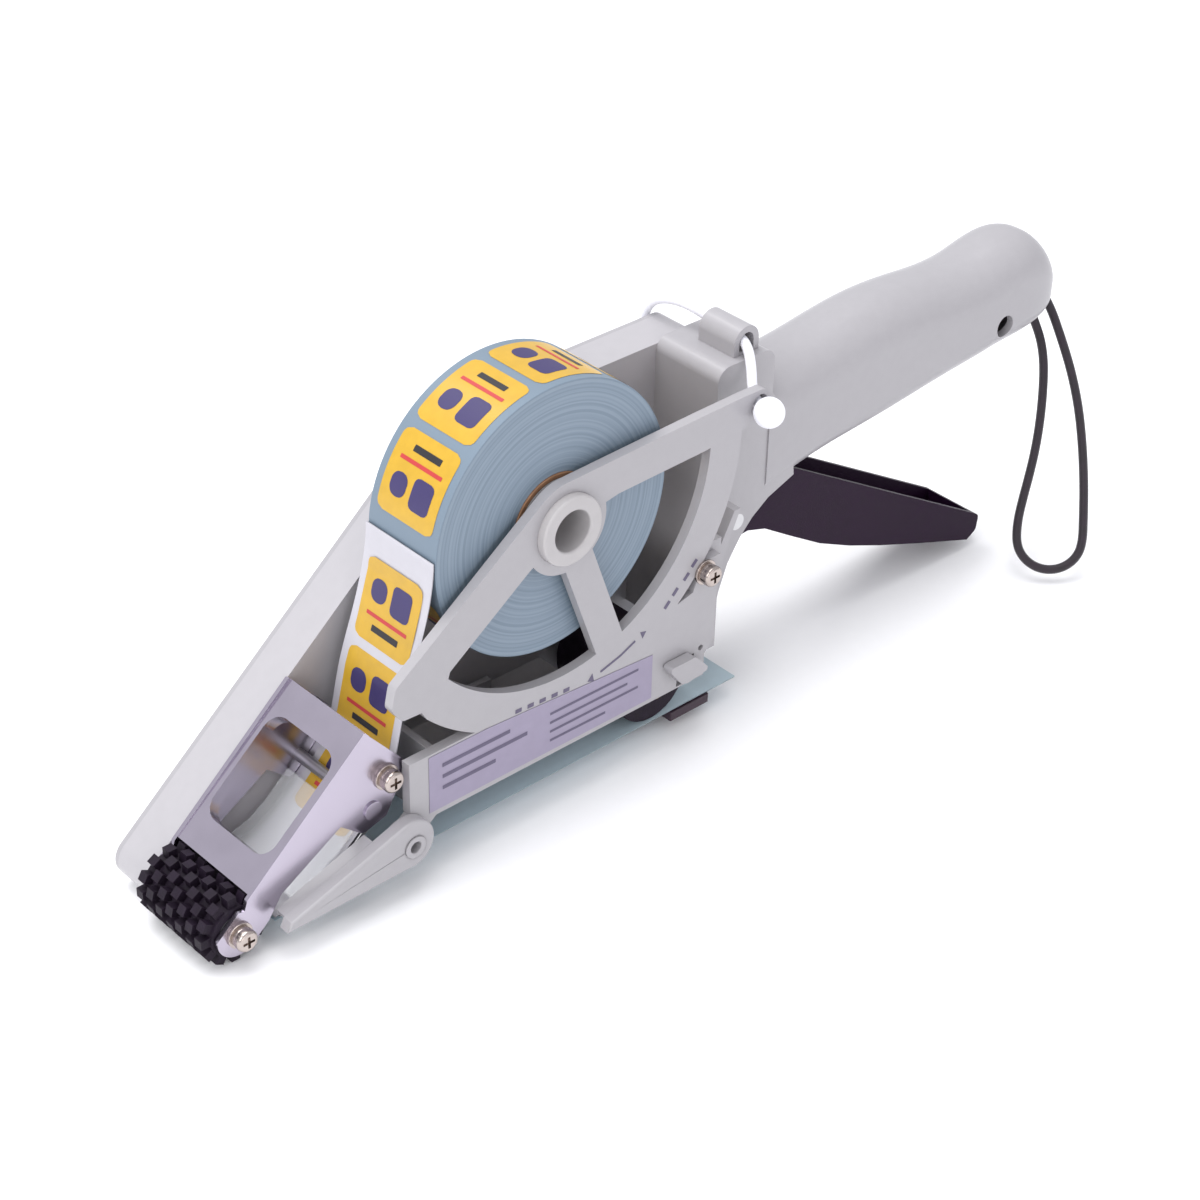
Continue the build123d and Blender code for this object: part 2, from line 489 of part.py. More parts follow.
def peel_plate():
    """Thin guide plate behind the web, down to its sharp peel edge."""
    top = [(-142.6, 7.3), (-135.4, 9.0), (-128.0, 11.4), (-121.9, 15.3), (-116.6, 19.9), (-111.6, 24.5), (-107.0, 29.5),
           (-103.2, 38.0)]
    back = [(-101.9, 38.0), (-105.8, 28.6), (-110.5, 23.4), (-115.5, 18.6), (-121.0, 14.0), (-127.2, 10.0), (-133.0, 7.3)]
    return prism(outline(*top, *back), BRACKET_NEAR + SHEET_METAL, BRACKET_FAR - SHEET_METAL)


def label_guide():
    """Clear guide over the web between the bracket's wings."""
    face = outline((-138.8, 11.0), (-129.2, 14.0), (-123.6, 17.6), (-118.2, 22.3), (-116.2, 24.2), (-116.9, 24.9),
                   (-118.9, 23.1), (-124.3, 18.4), (-129.7, 14.9), (-139.0, 12.0))
    return prism(face, BRACKET_NEAR + SHEET_METAL, BRACKET_FAR - SHEET_METAL)


def front_gate():
    """Swing-down guard beside the peel edge: tapered cheek with a round boss, and an inward ledge along its top."""
    tip = (-146.3, 9.5)
    wedge = outline(tip, (-145.0, 12.2), (-108.6, 23.8), GATE_BOSS, (-107.0, 9.45))
    cheek = prism(wedge + disc(GATE_BOSS, GATE_BOSS_R), GATE_OUT, GATE_IN)
    cheek = fillet(cheek.faces().sort_by(Axis.Y)[0].outer_wire().edges(), 0.7)
    ledge = prism(bar((-144.4, 11.4), (-116.0, 20.5), 1.6), GATE_IN, BRACKET_NEAR - 0.2)
    return cheek + ledge - rod(GATE_PIVOT, GATE_PIN_R + FIT, GATE_OUT, GATE_IN)


def knob():
    """Low ribbed cap on the far end of the reel pin."""
    face = disc(HUB, KNOB_R - 1.2)
    for k in range(20):
        face = face + disc(polar(HUB, KNOB_R - 1.4, k * 18), 1.4)
    body = prism(face, KNOB_START, KNOB_END - 0.8) + rod(HUB, KNOB_R - 2.6, KNOB_START, KNOB_END)
    return body - rod(HUB, PIN_R, KNOB_START, PIN_END)


def reel_pin():
    return tube(HUB, PIN_R, PIN_BORE_R, -35.5, PIN_END)


def tether_ring():
    """Loose collar between housing and knob, with an ear for the tether."""
    face = disc(HUB, 14.0) + bar(HUB, RING_EAR, 7.0) + disc(RING_EAR, 3.5)
    return prism(face - disc(HUB, PIN_HOLE_R) - disc(RING_EAR, 1.6), COVER_OUT + 0.2, KNOB_START - 0.2)


def spool():
    hub = tube(HUB, CORE_IN_R, PIN_HOLE_R, WEB_NEAR - 0.4, 0.0)
    return hub + tube(HUB, 22.0, PIN_HOLE_R, 0.0, 1.4)


def sticker():
    face = outline((-97.4, 20.5), (-18.7, 20.3), (-18.7, 34.8), (-78.0, 38.4), (-97.4, 38.4))
    return prism(face, PLATE_OUT - 0.15, PLATE_OUT)


def feed_roller():
    return tube(FEED, FEED_R, FEED_SHAFT_R + 3.2, -27.4, -1.4)


def feed_core():
    """Feed shaft with the roller's hub, and the pinion's seat at the far end."""
    return rod(FEED, FEED_SHAFT_R, -29.8, GEAR_HIGH + 0.6) + rod(FEED, FEED_SHAFT_R + 3.2, -27.4, -1.4)


def cord(route, diameter):
    """Round cord along straight runs joined by the largest tangent arcs that the runs allow."""
    points = [Vector(*p) for p in route]
    radii = []
    for before, corner, after in zip(points, points[1:], points[2:]):
        turn = (corner - before).get_angle(after - corner)
        shorter = min((corner - before).length, (after - corner).length)
        radii.append(0.45 * shorter / tan(radians(turn) / 2))
    path = FilletPolyline(*points, radius=radii)
    section = Plane(origin=path @ 0, z_dir=path % 0) * Circle(diameter / 2)
    body = sweep(section, path=path)
    expected = pi * diameter ** 2 / 4 * path.length
    print(f"cord {diameter} mm: length {path.length:.1f}, radii {[round(r, 1) for r in radii]}, "
          f"volume ratio {body.volume / expected:.4f}")
    return body


def knot(centre, radius):
    return Pos(*centre) * Sphere(radius)


near_shell, far_shell = split_handle(handle_solid())
wing_in = (BRACKET_NEAR + SHEET_METAL, BRACKET_FAR - SHEET_METAL)
first_rod, second_rod = GUIDE_RODS
washer_h, lock_h = 0.8, 1.2
screw_seats = [(REAR_SCREW, PLATE_OUT), (first_rod, BRACKET_NEAR), (ROLLER, BRACKET_NEAR)]

nodes = {
    "main_frame": main_frame(),
    "mechanism_cover": mechanism_cover(),
    "cover_screws": [pan_screw(at, COVER_OUT, 2.6, 1.6, 7.5, away=1) for at in COVER_SCREWS],
    "side_plate": side_plate(),
    "base_deck": base_deck(),
    "pan_screws": [pan_screw(at, seat - washer_h - lock_h, 3.1, 2.3, 9.5) for at, seat in screw_seats],
    "flat_washers": [tube(at, 3.7, SCREW_R, seat - washer_h, seat) for at, seat in screw_seats],
    "lock_washers": [tube(at, 3.0, SCREW_R, seat - washer_h - lock_h, seat - washer_h) for at, seat in screw_seats],
    "handle_near_shell": near_shell,
    "handle_far_shell": far_shell,
    "tether_lug": tether_lug(),
    "roller_bracket": roller_bracket(),
    "guide_rods": [rod(first_rod, ROD_R, *wing_in) - rod(first_rod, SCREW_R, wing_in[0], wing_in[0] + 8),
                   rod(second_rod, ROD_R, *wing_in)],
    "rod_rivet": rod(second_rod, 2.7, BRACKET_NEAR - 0.6, BRACKET_NEAR) + rod(second_rod, 1.5, BRACKET_NEAR, wing_in[0]),
    "roller_axle": rod(ROLLER, AXLE_R, BRACKET_NEAR, COVER_IN - 6.0) - rod(ROLLER, SCREW_R, BRACKET_NEAR, -21.0),
    "press_roller": press_roller(),
    "roller_sleeve": tube(ROLLER, SLEEVE_R, AXLE_R + FIT, ROLLER_NEAR, ROLLER_FAR),
    "front_gate": front_gate(),
    "gate_pin": tube(GATE_PIVOT, GATE_PIN_R, 1.7, GATE_OUT, PLATE_IN) + tube(GATE_PIVOT, 3.4, 1.7, GATE_OUT - 0.5, GATE_OUT),
    "label_guide": label_guide(),
    "peel_plate": peel_plate(),
    "label_web": label_web(),
    "liner_strip": prism(box_xz(-143.9, LINER_END, LINER_Z - SHEET / 2, LINER_Z + SHEET / 2), WEB_NEAR, WEB_FAR),
    "label_roll": tube(HUB, ROLL_R, CORE_OUT_R, WEB_NEAR, WEB_FAR),
    "roll_core": tube(HUB, CORE_OUT_R, CORE_IN_R, WEB_NEAR - 0.4, WEB_FAR),
    "reel_spool": spool(),
    "brake_washer": tube(HUB, 18.0, PIN_HOLE_R, 1.7, WALL_IN),
    "reel_pin": reel_pin(),
    "reel_knob": knob(),
    "tether_ring": tether_ring(),
    "trigger": trigger(),
    "trigger_pin": rod(PIVOT, PIVOT_PIN_R, NECK_NEAR, COVER_OUT) + rod(PIVOT, 4.0, COVER_OUT, COVER_OUT + 1.2),
    "trigger_spring": coil(PIVOT, 3.9, 1.0, GEAR_HIGH + 0.8, 2),
    "drive_sector": drive_sector(),
    "idler_gear": gear(IDLER, IDLER_TEETH, IDLER_TOOTH, IDLER_PIN_R + FIT),
    "idler_pin": rod(IDLER, IDLER_PIN_R, WALL_IN, COVER_IN),
    "feed_pinion": gear(FEED, PINION_TEETH, PINION_TOOTH, FEED_SHAFT_R),
    "feed_shaft": feed_core(),
    "feed_roller": feed_roller(),
    "feed_bushings": [tube(FEED, BUSH_R, FEED_SHAFT_R + FIT, PLATE_IN, PLATE_IN + 2.0),
                      tube(FEED, BUSH_R, FEED_SHAFT_R + FIT, WALL_IN, WALL_BACK + 1.2)],
    "pinch_arm": pinch_arm(),
    "pinch_arm_pin": rod(ARM_PIVOT, ARM_PIN_R, SPRING_LOW - 6.0, WALL_BACK),
    "pinch_spring": coil(ARM_PIVOT, 2.1, 0.6, SPRING_LOW + 0.6, 4),
    "pinch_roller": tube(PINCH, PINCH_R, PINCH_AXLE_R + FIT, PINCH_NEAR, -1.2),
    "pinch_axle": rod(PINCH, PINCH_AXLE_R, PINCH_NEAR - 0.6, ARM_FAR[1]),
    "foot_bar": prism(box_xz(-6.0, 9.0, 3.3, 6.2), ARM_NEAR[1], ARM_FAR[0]),
    "notice_sticker": sticker(),
    "wrist_strap": cord(STRAP_ROUTE, STRAP_D),
    "tether_cord": cord(TETHER_ROUTE, TETHER_D),
    "tether_knot": knot((TETHER_HOLE[0] - 1.1, PLATE_OUT - 4.4, TETHER_HOLE[1] - 0.6), 4.3),
    "tether_end_knot": knot((RING_EAR[0], KNOB_START + 2.5, RING_EAR[1]), 2.7),
}

for name, shape in nodes.items():
    save(name, Compound(children=list(shape)) if isinstance(shape, list) else shape)
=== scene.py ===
"""Looks of the hand-held label applicator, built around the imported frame. Metres, in the frame's own axes."""
import json
import math

import bpy
from mathutils import Matrix, Vector


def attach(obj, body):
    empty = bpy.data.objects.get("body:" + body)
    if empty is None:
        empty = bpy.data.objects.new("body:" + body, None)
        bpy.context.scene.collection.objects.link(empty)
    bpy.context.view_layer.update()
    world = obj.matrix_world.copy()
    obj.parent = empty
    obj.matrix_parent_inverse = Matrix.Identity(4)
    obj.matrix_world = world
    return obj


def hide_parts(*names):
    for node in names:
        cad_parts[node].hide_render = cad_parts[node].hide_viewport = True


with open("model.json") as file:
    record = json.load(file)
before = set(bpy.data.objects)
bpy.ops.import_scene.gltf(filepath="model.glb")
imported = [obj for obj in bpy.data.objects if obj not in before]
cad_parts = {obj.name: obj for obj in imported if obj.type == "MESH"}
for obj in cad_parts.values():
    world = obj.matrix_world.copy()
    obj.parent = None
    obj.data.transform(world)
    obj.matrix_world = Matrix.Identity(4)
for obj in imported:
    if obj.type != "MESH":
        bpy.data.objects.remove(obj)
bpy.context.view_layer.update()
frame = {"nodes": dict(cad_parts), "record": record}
nodes = frame["nodes"]
MM = 0.001
WIDTH_SHIFT = 7.6
HUB, ROLL_R = (-50.8, 89.0), 39.2
PLATE_FACE = -33.0


def at(x, y, z):
    """Point in metres from millimetres measured like the tool's own sections."""
    return Vector((x, y + WIDTH_SHIFT, z)) * MM


# Materials -------------------------------------------------------------------------------------------


def shader(name, color, rough=0.4, metal=0.0, vary=0.04, scale=300.0, bump=0.0, bump_scale=1500.0, coat=0.0,
           alpha=1.0, transmission=0.0, sheen=0.0, stretch=(1, 1, 1), rough_vary=0.06, ior=1.45):
    """Principled material: colour, roughness and height vary with fine noise in the object's own space."""
    m = bpy.data.materials.new(name)
    m.use_nodes = True
    t = m.node_tree
    b = t.nodes["Principled BSDF"]
    b.inputs["Metallic"].default_value = metal
    b.inputs["Coat Weight"].default_value = coat
    b.inputs["Coat Roughness"].default_value = 0.15
    b.inputs["Alpha"].default_value = alpha
    b.inputs["IOR"].default_value = ior
    b.inputs["Transmission Weight"].default_value = transmission
    b.inputs["Sheen Weight"].default_value = sheen
    coords = t.nodes.new("ShaderNodeTexCoord")
    mapping = t.nodes.new("ShaderNodeMapping")
    mapping.inputs["Scale"].default_value = stretch
    t.links.new(coords.outputs["Object"], mapping.inputs["Vector"])
    noise = t.nodes.new("ShaderNodeTexNoise")
    noise.inputs["Scale"].default_value = scale
    noise.inputs["Detail"].default_value = 6
    t.links.new(mapping.outputs["Vector"], noise.inputs["Vector"])
    ramp = t.nodes.new("ShaderNodeValToRGB")
    ramp.color_ramp.elements[0].position = 0.3
    ramp.color_ramp.elements[1].position = 0.7
    ramp.color_ramp.elements[0].color = (*[c * (1 - vary) for c in color], 1)
    ramp.color_ramp.elements[1].color = (*[min(1, c * (1 + vary)) for c in color], 1)
    t.links.new(noise.outputs["Fac"], ramp.inputs["Fac"])
    t.links.new(ramp.outputs["Color"], b.inputs["Base Color"])
    span = t.nodes.new("ShaderNodeMapRange")
    span.inputs["To Min"].default_value = max(0.02, rough - rough_vary)
    span.inputs["To Max"].default_value = min(1.0, rough + rough_vary)
    t.links.new(noise.outputs["Fac"], span.inputs["Value"])
    t.links.new(span.outputs["Result"], b.inputs["Roughness"])
    if bump:
        fine = t.nodes.new("ShaderNodeTexNoise")
        fine.inputs["Scale"].default_value = bump_scale
        fine.inputs["Detail"].default_value = 4
        t.links.new(mapping.outputs["Vector"], fine.inputs["Vector"])
        lift = t.nodes.new("ShaderNodeBump")
        lift.inputs["Strength"].default_value = bump
        lift.inputs["Distance"].default_value = 0.0002
        t.links.new(fine.outputs["Fac"], lift.inputs["Height"])
        t.links.new(lift.outputs["Normal"], b.inputs["Normal"])
    return m


MATERIALS = {
    "body_plastic": shader("body_plastic", (0.34, 0.33, 0.347), 0.34, bump=0.12, bump_scale=2600, vary=0.015,
                           coat=0.15),
    "screw_chrome": shader("screw_chrome", (0.46, 0.40, 0.37), 0.24, 1.0, bump=0.06),
    "bracket_chrome": shader("bracket_chrome", (0.47, 0.43, 0.51), 0.24, 1.0, scale=90, vary=0.03, bump=0.03,
                             bump_scale=700),
    "axle_steel": shader("axle_steel", (0.55, 0.55, 0.56), 0.3, 1.0, bump=0.08),
    "black_rubber": shader("black_rubber", (0.010, 0.005, 0.013), 0.6, bump=0.5, bump_scale=3000, vary=0.3,
                           ior=1.3),
    "dark_plastic": shader("dark_plastic", (0.03, 0.03, 0.035), 0.45, bump=0.2),
    "clear_plastic": shader("clear_plastic", (0.93, 0.95, 0.97), 0.12, alpha=0.35, transmission=0.4,
                            vary=0.01),
    "label_paper": shader("label_paper", (0.48, 0.47, 0.51), 0.42, bump=0.1, bump_scale=3500, vary=0.02),
    "liner_paper": shader("liner_paper", (0.30, 0.42, 0.50), 0.5, bump=0.15, vary=0.04),
    "core_board": shader("core_board", (0.25, 0.13, 0.07), 0.8, bump=0.5, vary=0.2),
    "hub_plastic": shader("hub_plastic", (0.41, 0.395, 0.40), 0.36, bump=0.12, vary=0.02),
    "knob_plastic": shader("knob_plastic", (0.35, 0.335, 0.355), 0.36, bump=0.12, vary=0.02),
    "felt": shader("felt", (0.2, 0.19, 0.18), 0.95, bump=0.8, vary=0.2, sheen=0.4),
    "trigger_plastic": shader("trigger_plastic", (0.014, 0.004, 0.017), 0.5, bump=0.3, bump_scale=2200,
                              vary=0.12, ior=1.22),
    "spring_steel": shader("spring_steel", (0.5, 0.5, 0.5), 0.25, 1.0),
    "gear_plastic": shader("gear_plastic", (0.78, 0.75, 0.66), 0.45, bump=0.1),
    "bush_brass": shader("bush_brass", (0.65, 0.45, 0.18), 0.3, 1.0, bump=0.05),
    "dark_metal": shader("dark_metal", (0.035, 0.018, 0.030), 0.4, bump=0.1),
    "sticker_paper": shader("sticker_paper", (0.27, 0.24, 0.33), 0.35, bump=0.08, vary=0.03),
    "strap_cord": shader("strap_cord", (0.010, 0.004, 0.010), 0.6, bump=0.4, vary=0.4, sheen=0.3),
    "tether_fibre": shader("tether_fibre", (0.80, 0.80, 0.86), 0.45, bump=0.4, vary=0.06, sheen=0.5),
}

FRAME_PLASTIC = shader("frame_plastic", (0.39, 0.378, 0.397), 0.36, bump=0.12, bump_scale=2600, vary=0.015)
STRIP_PAPER = shader("strip_paper", (0.50, 0.62, 0.68), 0.45, bump=0.15, vary=0.03)
GOLD = shader("label_gold", (0.52, 0.31, 0.022), 0.4, vary=0.05, coat=0.2)
INDIGO = shader("print_indigo", (0.04, 0.03, 0.11), 0.45)
RED = shader("print_red", (0.45, 0.04, 0.04), 0.45)
BLACK = shader("print_black", (0.02, 0.018, 0.022), 0.45)
MARK = shader("print_mark", (0.10, 0.085, 0.14), 0.5)


def ringed(material, centre, pitch):
    """Fine wound layers: rings about the hub's axis, in colour."""
    t = material.node_tree
    coords = t.nodes.new("ShaderNodeTexCoord")
    parts = t.nodes.new("ShaderNodeSeparateXYZ")
    t.links.new(coords.outputs["Object"], parts.inputs["Vector"])
    plane = t.nodes.new("ShaderNodeCombineXYZ")
    for axis, middle in zip("XZ", centre):
        offset = t.nodes.new("ShaderNodeMath")
        offset.operation = "SUBTRACT"
        offset.inputs[1].default_value = middle * MM
        t.links.new(parts.outputs[axis], offset.inputs[0])
        t.links.new(offset.outputs["Value"], plane.inputs[axis])
    length = t.nodes.new("ShaderNodeVectorMath")
    length.operation = "LENGTH"
    t.links.new(plane.outputs["Vector"], length.inputs[0])
    noise = t.nodes.new("ShaderNodeTexNoise")
    noise.noise_dimensions = "1D"
    noise.inputs["Scale"].default_value = 1 / (pitch * MM)
    t.links.new(length.outputs["Value"], noise.inputs["W"])
    bands = t.nodes.new("ShaderNodeValToRGB")
    bands.color_ramp.elements[0].position = 0.35
    bands.color_ramp.elements[1].position = 0.65
    bands.color_ramp.elements[0].color = (0.155, 0.205, 0.26, 1)
    bands.color_ramp.elements[1].color = (0.205, 0.26, 0.32, 1)
    t.links.new(noise.outputs["Fac"], bands.inputs["Fac"])
    t.links.new(bands.outputs["Color"], t.nodes["Principled BSDF"].inputs["Base Color"])


ringed(MATERIALS["liner_paper"], HUB, 0.9)

SLOTS = {row["node"]: row["material_slot"] for row in frame["record"]["subparts"]}


def dress(name, bevel=0.35):
    """Give a CAD node its material, softened edges and smooth shading."""
    obj = nodes[name]
    obj.data.materials.clear()
    obj.data.materials.append(MATERIALS[SLOTS[name]])
    weld = obj.modifiers.new("weld", "WELD")
    weld.merge_threshold = 0.00001
    if bevel:
        mod = obj.modifiers.new("bevel", "BEVEL")
        mod.width = bevel * MM
        mod.segments = 3
        mod.limit_method = "ANGLE"
        mod.angle_limit = math.radians(35)
        mod.harden_normals = False
    for polygon in obj.data.polygons:
        polygon.use_smooth = True
    normals = obj.modifiers.new("normals", "WEIGHTED_NORMAL")
    normals.keep_sharp = True


BEVELS = {"notice_sticker": 0, "label_web": 0, "liner_strip": 0, "wrist_strap": 0, "tether_cord": 0,
          "cover_screws": 0.1, "pan_screws": 0.1, "flat_washers": 0.12, "lock_washers": 0.12,
          "rod_rivet": 0.15, "roller_bracket": 0.25, "press_roller": 0.3, "idler_gear": 0.08,
          "feed_pinion": 0.08, "drive_sector": 0.08,
          "side_plate": 1.1, "main_frame": 0.6, "label_roll": 0.25, "roll_core": 0.2, "reel_pin": 0.7,
          "trigger_spring": 0, "pinch_spring": 0}
for node in nodes:
    dress(node, BEVELS.get(node, 0.4))
nodes["liner_strip"].data.materials[0] = STRIP_PAPER
nodes["main_frame"].data.materials[0] = FRAME_PLASTIC


# Labels, printed marks -------------------------------------------------------------------------------


def piece(name, points, faces, material, body):
    """Thin printed or glued shape that moves with a body."""
    mesh = bpy.data.meshes.new(name)
    mesh.from_pydata([tuple(p) for p in points], [], faces)
    mesh.materials.append(material)
    obj = bpy.data.objects.new(name, mesh)
    bpy.context.scene.collection.objects.link(obj)
    for polygon in mesh.polygons:
        polygon.use_smooth = True
    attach(obj, body)


ROLL_START = math.radians(172)


def on_roll(s, lift):
    """Point at distance s round the roll from where the web leaves it."""
    angle = ROLL_START - s / ROLL_R
    radius = ROLL_R + lift
    return HUB[0] + radius * math.cos(angle), HUB[1] + radius * math.sin(angle)


WEB_LINE = [(-90.5, 92.0), (-92.1, 80.0), (-95.9, 67.0), (-100.4, 53.9), (-103.6, 40.5), (-107.6, 30.0),
            (-112.2, 25.2), (-117.2, 20.5), (-122.5, 15.9), (-128.5, 12.0), (-135.8, 9.6), (-143.9, 8.0)]
WEB_HALF = 0.2


def on_web(s, lift):
    """Point at distance s down the web, on its outer face."""
    for (x0, z0), (x1, z1) in zip(WEB_LINE, WEB_LINE[1:]):
        run = math.hypot(x1 - x0, z1 - z0)
        if s <= run or (x1, z1) == WEB_LINE[-1]:
            out = WEB_HALF + lift
            along_x, along_z = (x1 - x0) / run, (z1 - z0) / run
            return x0 + along_x * s + along_z * out, z0 + along_z * s - along_x * out
        s -= run
    return WEB_LINE[-1]


PATCH_STEPS = 28


def patch(name, surface, start, length, low, high, corner, lift, material, body):
    """Rounded rectangle lying on a surface: length along it, low to high across it."""
    points = []
    for i in range(PATCH_STEPS + 1):
        s = length * i / PATCH_STEPS
        edge = min(s, length - s)
        inset = corner - math.sqrt(max(0.0, corner ** 2 - (corner - edge) ** 2)) if edge < corner else 0.0
        x, z = surface(start + s, lift)
        points += [at(x, low + inset, z), at(x, high - inset, z)]
    faces = [(2 * i, 2 * i + 1, 2 * i + 3, 2 * i + 2) for i in range(PATCH_STEPS)]
    piece(name, points, faces, material, body)


LABEL_LONG, LABEL_PITCH, LABEL_LOW, LABEL_HIGH, LABEL_CORNER = 22.6, 25.3, -25.3, -3.5, 2.4
LABEL_LIFT, PRINT_LIFT = 0.10, 0.16
PRINTS = [("block", 4.0, 8.5, -22.0, -14.5, 1.8, INDIGO), ("dot", 5.0, 6.5, -12.5, -6.5, 2.6, INDIGO),
          ("rule", 14.5, 1.1, -22.5, -6.5, 0.2, RED), ("foot", 17.5, 1.8, -20.0, -9.5, 0.2, BLACK)]


def label(name, surface, start, body):
    """Gold label with plain printed shapes."""
    patch(name, surface, start, LABEL_LONG, LABEL_LOW, LABEL_HIGH, LABEL_CORNER, LABEL_LIFT, GOLD, body)
    for shape, offset, length, low, high, corner, ink in PRINTS:
        patch(f"{name}_{shape}", surface, start + offset, length, low, high, corner, PRINT_LIFT, ink, body)


for turn in range(9):
    label(f"roll_label_{turn}", on_roll, 3.0 + turn * LABEL_PITCH, "reel")
for step in range(3):
    label(f"web_label_{step}", on_web, 8.0 + step * LABEL_PITCH, "root")


PLATE_PRINT, STICKER_PRINT = 0.06, 0.21


def flat(name, outline, lift=PLATE_PRINT):
    """Printed shape on the near face of the spoked plate, or on the sticker that lies on it."""
    points = [at(x, PLATE_FACE - lift, z) for x, z in outline]
    piece(name, points, [tuple(range(len(outline)))], MARK, "root")


def bar_between(name, start, end, width, lift=PLATE_PRINT):
    """Straight printed bar from start to end."""
    dx, dz = end[0] - start[0], end[1] - start[1]
    run = math.hypot(dx, dz)
    nx, nz = -dz / run * width / 2, dx / run * width / 2
    flat(name, [(start[0] + nx, start[1] + nz), (end[0] + nx, end[1] + nz), (end[0] - nx, end[1] - nz),
                (start[0] - nx, start[1] - nz)], lift)


ARROW = [(-42.7, 36.9), (-38.0, 38.0), (-30.8, 40.0), (-25.4, 42.4), (-21.4, 43.9)]
for i, (start, end) in enumerate(zip(ARROW[1:-1], ARROW[2:-1])):
    bar_between(f"arrow_shaft_{i}", start, end, 0.8)
for i, (tip, back) in enumerate([(ARROW[0], ARROW[1]), (ARROW[-1], ARROW[-2])]):
    dx, dz = (back[0] - tip[0]) / 2.2, (back[1] - tip[1]) / 2.2
    flat(f"arrow_head_{i}", [tip, (tip[0] + dx - dz * 0.7, tip[1] + dz + dx * 0.7),
                             (tip[0] + dx + dz * 0.7, tip[1] + dz - dx * 0.7)])
for i, (x, z) in enumerate([(-13.9, 49.1), (-11.0, 52.1), (-7.0, 55.3), (-4.2, 58.5)]):
    bar_between(f"rear_mark_{i}", (x - 0.9, z - 0.9), (x + 0.9, z + 0.9), 1.3)
for i in range(5):
    x, z = -67.0 + 4.2 * i, 39.0 - 0.3 * i
    bar_between(f"front_mark_{i}", (x - 1.1, z), (x + 1.1, z - 0.08), 1.3)
for row, (start, end) in enumerate([(-93, -70), (-93, -64), (-93, -75)]):
    bar_between(f"sticker_left_{row}", (start, 34.0 - 3.6 * row), (end, 33.9 - 3.6 * row), 1.2, STICKER_PRINT)
for row, end in enumerate([-24, -28, -24, -36]):
    z = 32.6 - 2.9 * row
    bar_between(f"sticker_right_{row}", (-56, z), (end, 32.4 - 2.9 * row), 0.8, STICKER_PRINT)


# Cords -----------------------------------------------------------------------------------------------

CORD_D = 2.8
STRAP_ROUTE = [(157.5, -13.2, 82.5), (162.5, -15.1, 75.2), (161.8, -22.4, 65.4), (160.7, -28.8, 56.3),
               (158.8, -34.5, 47.2), (156, -39.8, 37.3), (152.6, -44.7, 27.4), (149.5, -48.3, 19.5),
               (146, -52.1, 10.8), (142.5, -52.2, 6.7), (138.1, -50.1, 4.3), (134, -46.4, 4.2),
               (131.4, -42.1, 6.4), (130.9, -38.4, 10.4), (133.4, -35.8, 16.4), (136.9, -34.1, 22.4),
               (140.9, -32.5, 29.1), (145.1, -30.5, 36.4), (149.2, -27.8, 44.3), (152.8, -24.7, 52.2),
               (155.4, -21.8, 58.8), (156.8, -18.9, 64), (157.3, -16, 68.2), (154.5, -13.5, 76.5)]
TETHER_ROUTE = [(16.8, -36.8, 99.4), (17.9, -32, 99.8), (19.6, -28.2, 101.8), (22.6, -24.6, 105.6),
                (24.9, -20.9, 109.1), (26.1, -16.8, 110.6), (26.6, -10.6, 110.8), (26.7, -4.6, 110.9),
                (25.8, 1, 112.3), (24.8, 6.8, 112.7), (24.3, 12.4, 111.3), (24.8, 17.4, 108),
                (25.6, 20.6, 102.8), (24.6, 21.4, 96.4), (20.4, 21.4, 90.8), (13.4, 21.4, 87.2),
                (3, 21.4, 85.2), (-10, 21.3, 84.4), (-28.2, 21.5, 84.6)]


def cord_piece(name, route, node):
    """Limp cord along its route, in place of the plain tube of the CAD."""
    curve = bpy.data.curves.new(name, "CURVE")
    curve.dimensions = "3D"
    curve.resolution_u = 10
    curve.bevel_depth = CORD_D / 2 * MM
    curve.bevel_resolution = 5
    spline = curve.splines.new("NURBS")
    spline.points.add(len(route) - 1)
    for point, place in zip(spline.points, route):
        point.co = (*at(*place), 1)
    spline.order_u = 3
    spline.use_endpoint_u = True
    curve.materials.append(MATERIALS[SLOTS[node]])
    obj = bpy.data.objects.new(name, curve)
    bpy.context.scene.collection.objects.link(obj)
    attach(obj, "root")
    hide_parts(node)


cord_piece("strap_braid", STRAP_ROUTE, "wrist_strap")
cord_piece("tether_braid", TETHER_ROUTE, "tether_cord")


# Stage -----------------------------------------------------------------------------------------------


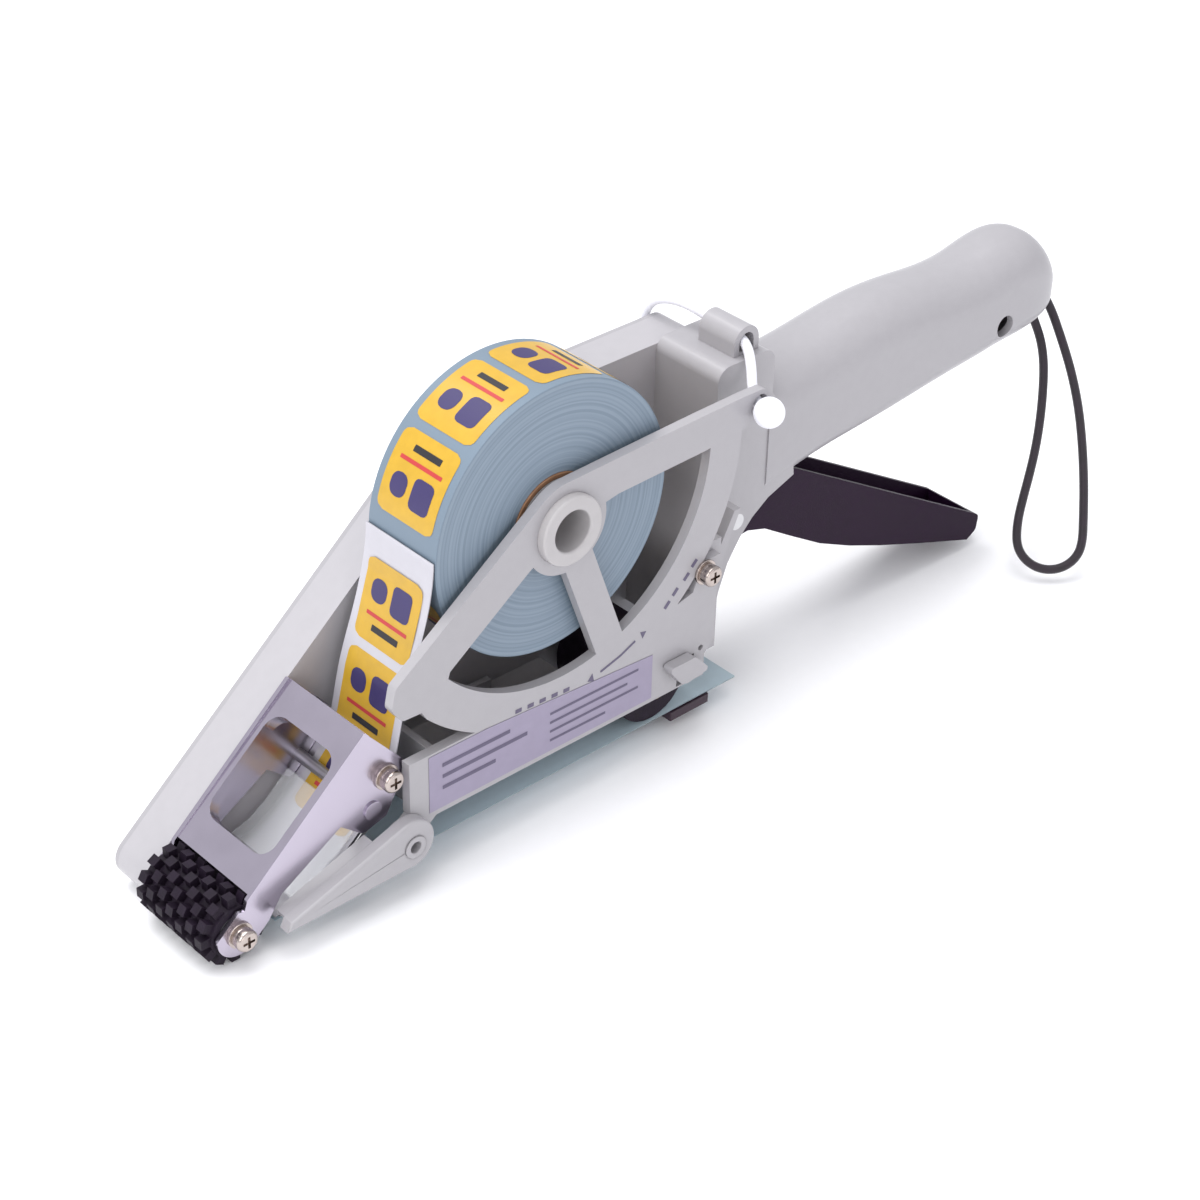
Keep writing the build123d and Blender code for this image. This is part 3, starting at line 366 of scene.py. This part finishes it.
def floor():
    size = 4.0
    mesh = bpy.data.meshes.new("floor")
    corners = [(-size, -size, 0), (size, -size, 0), (size, size, 0), (-size, size, 0)]
    mesh.from_pydata(corners, [], [(0, 1, 2, 3)])
    obj = bpy.data.objects.new("floor", mesh)
    bpy.context.scene.collection.objects.link(obj)
    mesh.materials.append(shader("floor_white", (0.92, 0.92, 0.93), 0.9, vary=0.005))
    obj.location.z = -0.0004


def area_light(name, at, target, size, power, color=(1, 1, 1)):
    light = bpy.data.lights.new(name, "AREA")
    light.shape = "RECTANGLE"
    light.size, light.size_y = size
    light.energy = power
    light.color = color
    obj = bpy.data.objects.new(name, light)
    obj.location = at
    obj.rotation_euler = (Vector(target) - Vector(at)).to_track_quat("-Z", "Y").to_euler()
    bpy.context.scene.collection.objects.link(obj)


def lights():
    target = (0, 0, 0.06)
    area_light("key", (-0.2, 0.3, 1.5), target, (1.3, 1.3), 22)
    area_light("left", (-1.2, -0.3, 0.8), target, (0.9, 0.9), 7)
    area_light("front", (0.1, -1.4, 0.6), target, (0.9, 0.6), 1.8, (1.0, 0.93, 0.98))
    area_light("low_fill", (-0.45, -0.95, 0.22), (-0.05, 0, 0.06), (0.5, 0.35), 1.0, (1.0, 0.96, 0.93))
    world = bpy.data.worlds.new("studio")
    world.use_nodes = True
    world.node_tree.nodes["Background"].inputs["Color"].default_value = (0.95, 0.96, 1.0, 1)
    world.node_tree.nodes["Background"].inputs["Strength"].default_value = 0.84
    bpy.context.scene.world = world


def camera():
    azimuth, elevation, roll = (math.radians(a) for a in (-43.041, 33.944, 1.43))
    back = Vector((math.sin(azimuth) * math.cos(elevation), -math.cos(azimuth) * math.cos(elevation),
                   math.sin(elevation)))
    right = Vector((math.cos(azimuth), math.sin(azimuth), 0))
    up = back.cross(right)
    right, up = (math.cos(roll) * right + math.sin(roll) * up, -math.sin(roll) * right + math.cos(roll) * up)
    data = bpy.data.cameras.new("camera")
    data.sensor_width = 36.0
    data.lens = 81.5
    obj = bpy.data.objects.new("camera", data)
    obj.matrix_world = Matrix((right, up, back)).transposed().to_4x4()
    obj.location = at(-443.6, -466.5, 460.8)
    bpy.context.scene.collection.objects.link(obj)
    bpy.context.scene.camera = obj


floor()
lights()
camera()
bpy.context.scene.view_settings.view_transform = "Standard"
